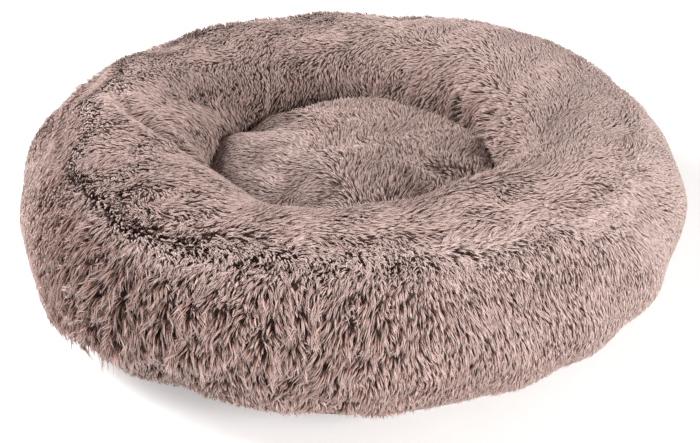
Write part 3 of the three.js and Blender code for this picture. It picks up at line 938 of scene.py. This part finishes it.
def cushion_pile(name, bearings, seed):
    """One half of the cushion's pile, between two bearings in degrees, rooted in rings over its flat cloth."""
    draw = np.random.default_rng(seed)
    span = (math.radians(bearings[0]), 0.0), (math.radians(bearings[1]), cushion_arc[-1] - 0.005)
    bearing, arc = scatter(*span, PITCH, draw, lambda a: max(a, 1 * MM))
    keep = draw.uniform(0, 1, len(arc)) > 0.6 * ease(arc, 0.195, 0.215)
    bearing, arc = bearing[keep], arc[keep]
    u, v = arc * np.cos(bearing), arc * np.sin(bearing)
    right = right_half(u, v)
    even = np.ones(len(u))
    look = {
        "length": 15 * MM * (1 - 0.2 * right),
        "height": BACKING_DEPTH * (0.8 + 0.4 * right) * (1 - 0.6 * ease(arc, 0.19, 0.215)),
        "width": 1.3 * MM * even,
        "spread": 0.9 * MM * even,
        # An even painted shade darkens all of the cushion's pile.
        "shade": 0.2 * even,
        "rough": 0.15 + 0.2 * right,
    }
    strands, tint, depth = grow(cushion_place, u, v, cushion_heading(u, v), look, seed + 1)
    dress(pile_object(name, strands, tint, depth), plush_pile, "plush", "cushion")
    print(f"{name}: {len(strands)} strands, {len(strands) * len(FACES)} triangles")


cushion_pile("cushion_pile_rear", rear, 900)
cushion_pile("cushion_pile_front", front, 910)

# %% [markdown]
# ## The cloth under the pile
# Between the locks one sees the knitted backing, in shadow, and its colour is painted dark brown too: painted
# shade, darkest where the pile is rough. Each panel of the cover is a closed shell two millimetres thick that
# follows the same swell as the pile, so no root floats and nothing inside shows through. The insert is a bag of
# thin liner cloth in two panels, and the fibre fills it: both are the rim's own surface again, taken a few
# millimetres deeper.

# %% The backing cloths


def fine_noise(tree, scale, detail=2):
    """Noise on Object coordinates, from 0 to 1."""
    where = tree.nodes.new("ShaderNodeTexCoord")
    noise = tree.nodes.new("ShaderNodeTexNoise")
    noise.inputs["Scale"].default_value = scale
    noise.inputs["Detail"].default_value = detail
    tree.links.new(where.outputs["Object"], noise.inputs["Vector"])
    return noise.outputs["Fac"]


def raise_surface(tree, shader, height, strength, distance):
    """Tilts a finish's normals as if its surface stood out by a height pattern times a distance."""
    bumps = tree.nodes.new("ShaderNodeBump")
    bumps.inputs["Strength"].default_value = strength
    bumps.inputs["Distance"].default_value = distance
    tree.links.new(height, bumps.inputs["Height"])
    tree.links.new(bumps.outputs["Normal"], shader.inputs["Normal"])


def backing_finish():
    """The short dense pile between the locks: brown, streaked and rough, its darkness painted shade that
    deepens with the depth value.
    """
    made, tree, shader = node_material("plush_backing")
    streaks = fine_noise(tree, 260, 4)
    colour = colour_between(tree, streaks, SMOOTH_GROUND_PAINTED_SHADE, ROUGH_GROUND_PAINTED_SHADE)
    tree.links.new(colour, shader.inputs["Base Color"])
    raise_surface(tree, shader, streaks, 0.8, 2 * MM)
    shader.inputs["Roughness"].default_value = 0.95
    return made


plush_backing = backing_finish()


CLOTH_THICK = 2 * MM


def rim_backing(name, bearings, arcs, node):
    """A closed panel of backing cloth, painted as dark at each place as the painted shade at the roots of the
    pile over it.
    """
    bearing = np.radians(np.linspace(*bearings, 145))[None, :]
    arc = np.linspace(*arcs, 44)[:, None]
    piece = closed_panel(name, on_rim(bearing, arc, 0.0), on_rim(bearing, arc, -CLOTH_THICK))
    bearing, arc = np.broadcast_arrays(bearing, arc)
    # The ground's painted shade follows the pile's roughness and is less near the parting and on the left
    # shoulder.
    parted = bump(arc - parting_arc(rim_points(bearing, arc)), 0, 34 * MM)
    rough = rim_roughness(bearing, arc) * (1 - 0.85 * np.maximum(parted, combed_and_painted_pale(bearing, arc)))
    give_values(piece.data, "depth", np.tile(rough.ravel(), 2))
    dress(piece, plush_backing, "plush", "bed", node)


END_GAP = 0.05  # degrees between a panel's end and the seam where the halves meet
BACKING_FOOT = {"rear": 0.0235, "front": 0.0005}
for side, span in (("rear", rear), ("front", front)):
    ends = (span[0] + END_GAP, span[1] - END_GAP)
    rim_backing(f"wall_backing_{side}", ends, (BACKING_FOOT[side], shoulder_arc - 0.5 * MM), f"rim_wall_{side}")
    rim_backing(f"crown_backing_{side}", ends, (shoulder_arc, rim_arc[-1]), f"rim_crown_{side}")


def ring_rows(depth):
    """Rows of a closed tube inside the rim's cover, at a depth: round the section, then back under it."""
    bearing = full_turn(144)[None, :]
    arc = np.linspace(0.012, rim_arc[-1] - 0.012, 56)[:, None]
    over = on_rim(bearing, arc, -depth)
    share = np.linspace(0, 1, 10)[1:-1, None, None]
    under = over[-1:] * (1 - share) + over[:1] * share
    rows = np.concatenate([over, under])
    rows[..., 2] = np.maximum(rows[..., 2], 2.5 * MM + depth * 0.3)
    return rows


def shell_between(name, outer, inner):
    """A closed ring of cloth between two grids whose columns wrap round."""
    rows, columns = outer.shape[:2]
    top = grid_faces(rows, columns, True)
    ring = np.arange(columns)
    after = (ring + 1) % columns
    last, all_points = (rows - 1) * columns, rows * columns
    low = np.stack([after, ring, ring + all_points, after + all_points], axis=-1)
    high = np.stack([ring, after, after + all_points, ring + all_points], axis=-1) + last
    points = np.concatenate([outer.reshape(-1, 3), inner.reshape(-1, 3)])
    return mesh_object(name, points, np.concatenate([top, top[:, ::-1] + all_points, low, high]))


BAG_SEAMS = 12, 46  # the rows where the bag's lower and upper panels meet


def rim_insert():
    """The insert's bag in its two panels, and the fibre in it."""
    outer, inner = ring_rows(4 * MM), ring_rows(5 * MM)
    low, high = BAG_SEAMS
    for half, rows in (("upper", slice(low, high)), ("lower", np.r_[high:len(outer), 0:low])):
        piece = shell_between(f"rim_insert_bag_{half}", outer[rows], inner[rows])
        dress(piece, liner_finish, "liner", "bed", f"rim_insert_{half}")
    fill = ring_rows(6.5 * MM)
    rows, columns = fill.shape[:2]
    faces = grid_faces(rows + 1, columns, True) % (rows * columns)
    piece = mesh_object("rim_stuffing", fill, faces)
    dress(piece, fibre_finish, "fibre", "bed", "rim_filling")
    print(f"rim stuffing: {rows} rows of {columns}")


def colour_ramp(tree, shader, share, dark, colour, low=0.0, high=1.0):
    """Runs a finish's colour from a darker shade to the full colour as a share goes from low to high."""
    ramp = tree.nodes.new("ShaderNodeValToRGB")
    ends = ramp.color_ramp.elements
    ends[0].position, ends[1].position = low, high
    ends[0].color = tuple(dark * c for c in colour) + (1,)
    ends[1].color = tuple(colour) + (1,)
    tree.links.new(share, ramp.inputs["Fac"])
    tree.links.new(ramp.outputs["Color"], shader.inputs["Base Color"])


def plain_finish(name, colour, scale, rough, strength):
    """A matt finish whose colour and surface vary with fine noise on Object coordinates."""
    made, tree, shader = node_material(name)
    noise = fine_noise(tree, scale, 5)
    colour_ramp(tree, shader, noise, 0.78, colour, 0.3, 0.75)
    raise_surface(tree, shader, noise, strength, 1 * MM)
    shader.inputs["Roughness"].default_value = rough
    return made


liner_finish = plain_finish("liner_cloth", (0.80, 0.77, 0.73), 900, 0.9, 0.3)
fibre_finish = plain_finish("polyester_fibre", (0.88, 0.86, 0.84), 160, 1.0, 0.8)
rim_insert()


def dome_shell(name, outer, inner, outer_pole, inner_pole, downwards=False):
    """A closed shell between two grids of rings, the first of which is closed over by a pole point."""
    rows, columns = outer.shape[:2]
    count = rows * columns
    ring = np.arange(columns)
    after = (ring + 1) % columns
    last = count - columns
    poles = (2 * count, 2 * count + 1)
    quads = grid_faces(rows, columns, True)
    edge = np.stack([last + ring, last + after, last + after + count, last + ring + count], axis=-1)
    faces = quads.tolist() + (quads[:, ::-1] + count).tolist() + edge.tolist()
    faces += np.stack([ring, after, np.full(columns, poles[0])], axis=-1)[:, ::-1].tolist()
    faces += np.stack([ring + count, after + count, np.full(columns, poles[1])], axis=-1).tolist()
    if downwards:
        faces = [face[::-1] for face in faces]
    points = np.concatenate([outer.reshape(-1, 3), inner.reshape(-1, 3), [outer_pole, inner_pole]])
    return mesh_object(name, points, faces)


# The cushion's ground gets an even amount of painted shade.
CUSHION_GROUND_PAINTED_SHADE = 0.3  # how far the cushion's ground goes from the smooth colour to the rough one


def cushion_cover():
    """The cushion's plush top as a closed shell, with the same painted shade on its dark and pale ground as the
    rim's.
    """
    arc = np.linspace(0.004, cushion_arc[-1], 52)[:, None]
    bearing = full_turn(144)[None, :]
    x, y = arc * np.cos(bearing), arc * np.sin(bearing)
    pole = np.zeros(1)
    skins = [on_cushion(x, y, -deep) for deep in (0, CLOTH_THICK)]
    poles = [on_cushion(pole, pole, -deep)[0] for deep in (0, CLOTH_THICK)]
    piece = dome_shell("cushion_backing", *skins, *poles)
    give_values(piece.data, "depth", np.full(len(piece.data.vertices), CUSHION_GROUND_PAINTED_SHADE))
    return piece


dress(cushion_cover(), plush_backing, "plush", "cushion", "cushion_top_panel")

# %% [markdown]
# ## Woven cloth and tape
# The underside is seldom seen, but it is there when the bed is turned over: woven base cloth with small
# rubber grips, a grosgrain binding, a coil zip with its tapes, and a blank satin label. A weave has no
# thickness worth modelling, so it is a pattern in the finish. Two crossed waves on object coordinates make
# warp and weft.

# %% Finishes for the plain parts


def woven_finish(name, colour, pitch, rough=0.85):
    """A plain weave: the product of two sine waves at right angles shades it and raises its threads."""
    made, tree, shader = node_material(name)
    where = tree.nodes.new("ShaderNodeTexCoord")
    waves = []
    for direction in ("X", "Y"):
        wave = tree.nodes.new("ShaderNodeTexWave")
        wave.bands_direction = direction
        wave.inputs["Scale"].default_value = 1 / (pitch * 2 * math.pi) * 2
        wave.inputs["Distortion"].default_value = 0.6
        tree.links.new(where.outputs["Object"], wave.inputs["Vector"])
        waves.append(wave.outputs["Fac"])
    weave = tree.nodes.new("ShaderNodeMath")
    weave.operation = "MULTIPLY"
    for socket, wave in zip(weave.inputs, waves):
        tree.links.new(wave, socket)
    colour_ramp(tree, shader, weave.outputs["Value"], 0.55, colour)
    raise_surface(tree, shader, weave.outputs["Value"], 0.5, 0.4 * MM)
    shader.inputs["Roughness"].default_value = rough
    return made


def metal_finish():
    """Grey plated metal, brushed a little by noise in its roughness."""
    made, tree, shader = node_material("zip_metal")
    rough = tree.nodes.new("ShaderNodeMapRange")
    rough.inputs["To Min"].default_value, rough.inputs["To Max"].default_value = 0.24, 0.42
    tree.links.new(fine_noise(tree, 700), rough.inputs["Value"])
    tree.links.new(rough.outputs["Result"], shader.inputs["Roughness"])
    shader.inputs["Base Color"].default_value = (0.55, 0.55, 0.56, 1)
    shader.inputs["Metallic"].default_value = 1
    return made


base_finish = woven_finish("base_weave", (0.22, 0.17, 0.15), 1.1 * MM)
tape_finish = woven_finish("tape_weave", (0.36, 0.26, 0.225), 0.7 * MM)
label_finish = woven_finish("label_satin", (0.86, 0.85, 0.83), 0.45 * MM, 0.5)
grip_finish = plain_finish("grip_rubber", (0.035, 0.033, 0.032), 500, 0.65, 0.2)
thread_finish = plain_finish("thread", (0.30, 0.235, 0.215), 1500, 0.7, 0.2)
coil_finish = plain_finish("zip_coil", (0.28, 0.20, 0.175), 600, 0.45, 0.1)
metal = metal_finish()

# %% The base cloth, its grips and its binding
base_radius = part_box("base_cloth")[1].x
base_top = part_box("base_cloth")[1].z
GRIP_DEPTH = 0.5 * MM

round_bed = full_turn(180)[None, :]
base_rings = np.linspace(0.01, base_radius, 20)[:, None]
base_under = polar(base_rings, round_bed, GRIP_DEPTH)
base_over = polar(base_rings, round_bed, base_top)
base_poles = ((0, 0, GRIP_DEPTH), (0, 0, base_top))
base_sheet = dome_shell("base_sheet", base_over, base_under, *base_poles[::-1])
dress(base_sheet, base_finish, "base_cloth", "bed", "base_cloth")


def copies(name, shape, faces, places):
    """One mesh of many copies of a small shape of triangles. places holds each copy's point and three axes."""
    at, axes = places
    points = at[:, None, :] + np.einsum("kj,njc->nkc", np.asarray(shape, float), axes)
    starts = np.arange(len(at))[:, None, None] * len(shape)
    return mesh_object(name, points, (starts + np.asarray(faces)[None]).reshape(-1, 3))


def capsule(length, width, sides=6):
    """A small closed capsule along X: a point, two rings and a point."""
    rings = [
        (x, width / 2 * math.cos(t), width / 2 * math.sin(t))
        for x in (-0.3 * length, 0.3 * length)
        for t in full_turn(sides)
    ]
    points = rings + [(-length / 2, 0, 0), (length / 2, 0, 0)]
    ends = 2 * sides, 2 * sides + 1
    faces = [(a, b, c) for i in range(sides) for j in [(i + 1) % sides] for a, b, c in (
        (i, j, sides + j), (i, sides + j, sides + i), (j, i, ends[0]), (sides + i, sides + j, ends[1]))]
    return points, faces


def round_places(points, along, up):
    """Places for copies: axes along, up x along and up at each point."""
    along = along / np.linalg.norm(along, axis=-1, keepdims=True)
    up = np.broadcast_to(up, along.shape)
    up = up / np.linalg.norm(up, axis=-1, keepdims=True)
    return points, np.stack([along, np.cross(up, along), up], axis=1)


def grips():
    """Low rubber domes under the base cloth, on a triangular net."""
    pitch = 15 * MM
    row, column = np.meshgrid(np.arange(-25, 26), np.arange(-22, 23), indexing="ij")
    x, y = (column + 0.5 * (row % 2)) * pitch, row * pitch * math.sqrt(3) / 2
    inside = np.hypot(x, y) < base_radius - 16 * MM
    at = np.stack([x[inside], y[inside], np.zeros(inside.sum())], axis=-1)
    sunk = GRIP_DEPTH + 0.1 * MM
    levels = ((1.7 * MM, sunk), (1.2 * MM, 0.06 * MM))
    shape = [(r * math.cos(t), r * math.sin(t), z) for r, z in levels for t in full_turn(8)]
    shape += [(0, 0, sunk), (0, 0, 0.0)]
    faces = [(a, b, c) for i in range(8) for j in [(i + 1) % 8] for a, b, c in (
        (j, i, 8 + i), (j, 8 + i, 8 + j), (i, j, 16), (8 + j, 8 + i, 17))]
    axes = np.broadcast_to(np.eye(3), (len(at), 3, 3))
    made = copies("base_grips", shape, faces, (at, axes))
    print(f"{len(at)} grips")
    return made


base_grips = dress(grips(), grip_finish, "base_cloth", "bed")


def stitch_ring(name, radius, height, pitch, bearings=(0, 360), up=(0, 0, 1)):
    """A row of stitches round the bed at a radius and height, or between two bearings in degrees."""
    low, high = np.radians(bearings)
    number = int((high - low) * radius / pitch)
    turn = low + (np.arange(number) + 0.5) * (high - low) / number
    along = np.stack([-np.sin(turn), np.cos(turn), 0 * turn], axis=-1)
    outward = np.stack([np.cos(turn), np.sin(turn), 0 * turn], axis=-1)
    face = outward * up[0] + np.array([0, 0, 1.0]) * up[2]
    shape, faces = capsule(0.72 * pitch, 0.55 * MM)
    made = copies(name, shape, faces, round_places(polar(radius, turn, height), along, face))
    return dress(made, thread_finish, "tape", "bed")


edge_stitches = stitch_ring("base_edge_stitches", base_radius - 5 * MM, GRIP_DEPTH, 3.6 * MM)
well_seam_radius = float(rim_table["r"][-1])
well_stitches = stitch_ring("well_seam_stitches", well_seam_radius, GRIP_DEPTH, 3.6 * MM)


SEAM_GAP = 0.4 * MM  # between the base cloth's edge and the binding


def binding():
    """The folded binding: a rounded section carried round the bed, with fine ribs across it."""
    low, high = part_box("base_binding")
    inside, outside = base_radius + SEAM_GAP, high.x
    columns, sides = 1440, 10
    turn = full_turn(columns)[None, :]
    angle = full_turn(sides)[:, None]
    across, up = superellipse(angle, 3.2)
    rib = 1 - 0.035 * (1 + np.sin(360 * turn))
    radius = (inside + outside) / 2 + (outside - inside) / 2 * across * rib
    height = (low.z + high.z) / 2 + (high.z - low.z) / 2 * up * rib
    points = polar(radius, turn, height)
    faces = grid_faces(sides + 1, columns, True) % (sides * columns)
    return mesh_object("binding_tape", points, faces)


dress(binding(), tape_finish, "tape", "bed", "base_binding")

# %% [markdown]
# ## Under the cushion
# The cushion's lower half is plain woven cloth, because it lies on the bed's floor. It starts at the
# cushion's seam and runs round the lower edge to the middle, so it is a shell of rings like the top.

# %% The cushion's base panel


def cushion_base():
    """Woven cloth under the cushion, from its seam round the lower edge to the middle."""
    angle = np.radians(np.linspace(CUSHION_SEAM, -89.2, 40))
    table = section_table(*cushion_section(angle))
    r, z, inward_r, inward_z = (table[key][:, None] for key in ("r", "z", "nr", "nz"))
    turn, thick = full_turn(144)[None, :], 1.2 * MM
    skins = [polar(r + deep * inward_r, turn, z + deep * inward_z)[::-1] for deep in (0.0, thick)]
    middle = cushion_section(np.radians(np.array([-90.0])))[1][0]
    return dome_shell("cushion_base", *skins, (0, 0, middle), (0, 0, middle + thick), downwards=True)


dress(cushion_base(), base_finish, "base_cloth", "cushion", "cushion_base_panel")

# %% [markdown]
# ## The zip and the label
# A coil zip is a plastic wire wound into a helix and sewn to each tape. The helix is one grid: points on a
# small circle round a line that itself turns round the chain. The slider and its pull take the frame's own
# solids, with their edges rounded off, so that they still move as the frame says.

# %% The zip
band_width = 23.6 * MM
band = rim_points(0.0, np.array([0.0, band_width]), -2 * MM)
band_across = (band[1] - band[0]) / np.linalg.norm(band[1] - band[0])
band_across = np.array([band_across[0], band_across[2]])
band_out = np.array([band_across[1], -band_across[0]])
zip_middle = np.array([band[:, 0].mean(), band[:, 2].mean()])
print("zip's line: radius {:.4f}, height {:.4f}".format(*zip_middle))


def on_zip(bearing, across, out):
    """Points in the zip's own axes: across the band and out of it, turned to a bearing."""
    radius = zip_middle[0] + across * band_across[0] + out * band_out[0]
    height = zip_middle[1] + across * band_across[1] + out * band_out[1]
    return polar(radius, bearing, height)


def tube_grid(name, points):
    """A closed tube from rings of points, with a cap at each end."""
    rings, sides = points.shape[:2]
    faces = grid_faces(rings, sides, True).tolist()
    faces.append(list(range(sides)))
    faces.append([(rings - 1) * sides + i for i in range(sides - 1, -1, -1)])
    return mesh_object(name, points, faces)


def zip_tape(name, side):
    """One tape: a flat ribbed section drawn along the zip."""
    near, far = 0.6 * MM, 9.6 * MM
    across = np.linspace(near, far, 22)
    thick = 0.45 * MM * (0.86 + 0.14 * np.cos((across - near) / (1.5 * MM) * 2 * np.pi))
    ring_across = side * np.concatenate([across, across[::-1]])
    ring_out = np.concatenate([thick, -thick])
    bearing = np.radians(np.linspace(2, 178, 221))[:, None]
    points = on_zip(bearing, ring_across[None, :], ring_out[None, :])
    return tube_grid(name, points if side < 0 else points[:, ::-1])


STEPS_A_TURN = 7


def zip_coil(name, side):
    """One coil: a round wire of 0.3 mm radius, wound into an oval helix with a turn every 1.6 mm."""
    bearing_low, bearing_high = np.radians((8, 172))
    length = (bearing_high - bearing_low) * zip_middle[0]
    steps = int(length / (1.6 * MM) * STEPS_A_TURN)
    wind = np.arange(steps) / STEPS_A_TURN * 2 * np.pi + (0 if side > 0 else np.pi)
    bearing = bearing_low + (bearing_high - bearing_low) * np.arange(steps) / (steps - 1)
    wire = 0.3 * MM
    half_across, half_out = 1.3 * MM - wire, 1.0 * MM - wire
    middle_across, middle_out = side * 1.6 * MM, 0.85 * MM + 1.0 * MM
    turn = full_turn(5)[None, :]
    swell = wire * np.cos(turn)
    shift = wire * np.sin(turn) / zip_middle[0]
    across = middle_across + (half_across + swell) * np.cos(wind)[:, None]
    out = middle_out + (half_out + swell) * np.sin(wind)[:, None]
    return tube_grid(name, on_zip(bearing[:, None] + shift, across, out))


for side, word in ((-1, "lower"), (1, "upper")):
    dress(zip_tape(f"zip_tape_{word}_woven", side), tape_finish, "tape", "bed", f"zip_tape_{word}")
    dress(zip_coil(f"zip_coil_{word}_wound", side), coil_finish, "coil", "bed", f"zip_coil_{word}")
    row = on_zip(0.0, side * 6.4 * MM, 0.45 * MM)
    stitch_ring(f"zip_stitches_{word}", row[0], row[2], 3.2 * MM, (3, 177), (band_out[0], 0, band_out[1]))


def rounded_copy(name, node, width):
    """A copy of a solid of the frame, its doubled points merged and its edges rounded."""
    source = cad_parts[node]
    mesh = source.data.copy()
    mesh.transform(source.matrix_world)
    shape = bmesh.new()
    shape.from_mesh(mesh)
    bmesh.ops.remove_doubles(shape, verts=shape.verts, dist=1e-6)
    bmesh.ops.recalc_face_normals(shape, faces=shape.faces)
    bmesh.ops.dissolve_limit(shape, angle_limit=0.02, verts=shape.verts, edges=shape.edges)
    shape.to_mesh(mesh)
    shape.free()
    made = in_scene(name, mesh)
    bevel = made.modifiers.new("Bevel", "BEVEL")
    bevel.width = width
    bevel.segments = 3
    bevel.limit_method = "ANGLE"
    bevel.harden_normals = False
    return made


dress(rounded_copy("slider_body", "zip_slider", 0.3 * MM), metal, "zip_metal", "zip_slider", "zip_slider")
dress(rounded_copy("pull_plate", "zip_pull", 0.2 * MM), metal, "zip_metal", "zip_pull", "zip_pull")
for end in ("closed", "open"):
    stop = rounded_copy(f"stop_{end}", f"zip_stop_{end}", 0.3 * MM)
    dress(stop, metal, "zip_metal", "bed", f"zip_stop_{end}")

# %% The care label
LABEL_BEARING = math.radians(188)
LABEL_LENGTH, LABEL_WIDTH, LABEL_THICK = 22 * MM, 26 * MM, 0.5 * MM
BINDING_WIDTH = 4 * MM


def care_label():
    """A blank satin tab that hangs out from the base seam, with a slow curl: a sine along it."""
    low_corner, high_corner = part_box("care_label")
    label_foot, label_top = low_corner.z, high_corner.z
    start = base_radius + SEAM_GAP + BINDING_WIDTH + 0.5 * MM
    t = np.linspace(0, 1, 18)[:, None]
    w = np.linspace(-1, 1, 20)[None, :]
    drop = label_top - label_foot - LABEL_THICK
    radial = start + t * math.sqrt(LABEL_LENGTH**2 - drop**2) + 0 * w
    height = label_top - LABEL_THICK - drop * t + 0.35 * MM * np.sin(np.pi * t) * np.cos(2.2 * w)
    side = w * LABEL_WIDTH / 2 + 0 * t
    x = radial * math.cos(LABEL_BEARING) - side * math.sin(LABEL_BEARING)
    y = radial * math.sin(LABEL_BEARING) + side * math.cos(LABEL_BEARING)
    low = np.stack([x, y, height], axis=-1)
    high = low + np.array([0, 0, LABEL_THICK])
    return closed_panel("label_tab", high, low, smooth=False)


label = dress(care_label(), label_finish, "label", "bed", "care_label")

# %% What stays as the frame has it
for node, finish in (
    ("well_stay_tape", tape_finish), ("cushion_insert_upper", liner_finish),
    ("cushion_insert_lower", liner_finish), ("cushion_filling", fibre_finish),
):
    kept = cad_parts[node]
    kept.data.materials.clear()
    kept.data.materials.append(finish)
